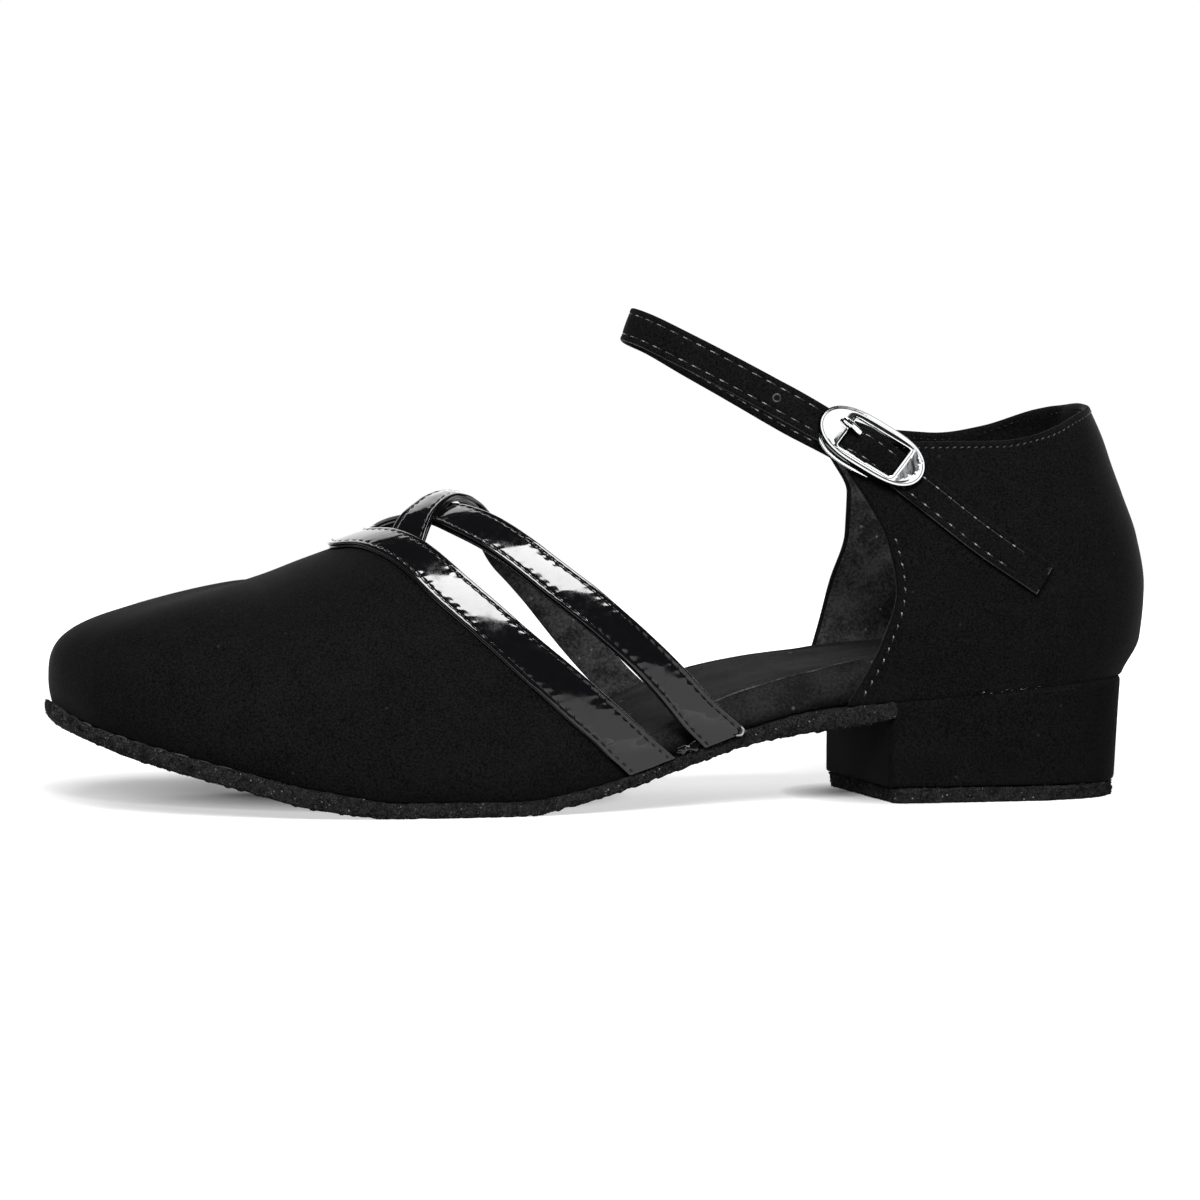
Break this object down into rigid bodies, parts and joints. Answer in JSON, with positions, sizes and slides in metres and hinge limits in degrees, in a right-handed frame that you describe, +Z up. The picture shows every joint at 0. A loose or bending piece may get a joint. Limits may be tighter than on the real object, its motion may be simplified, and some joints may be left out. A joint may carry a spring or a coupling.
{
  "type": "dance shoe",
  "caption": "Closed-toe dance shoe with a low block heel, an open waist, a V topline band, straps crossed over the instep and a buckled ankle strap.",
  "frame": {"origin": "on the floor under the middle of the shoe's bounding box", "axes": "toe towards -X and heel towards +X, lateral side towards -Y, +Z up"},
  "size_m": [0.2486, 0.086, 0.1087],
  "materials": {
    "nubuck_black": "black nubuck with a short nap",
    "patent_black": "black patent, high gloss",
    "suede_sole": "rough chrome-tanned suede",
    "insole_suede": "charcoal suede over padding",
    "chrome": "polished"
  },
  "bodies": {
    "root": {"outsole": "suede_sole", "heel": "nubuck_black", "top_piece": "suede_sole", "insole": "insole_suede", "vamp": "nubuck_black", "patent_straps": "patent_black", "quarter": "nubuck_black", "ankle_strap": "nubuck_black", "buckle_frame": "chrome", "buckle_prong": "chrome"}
  },
  "joints": []
}
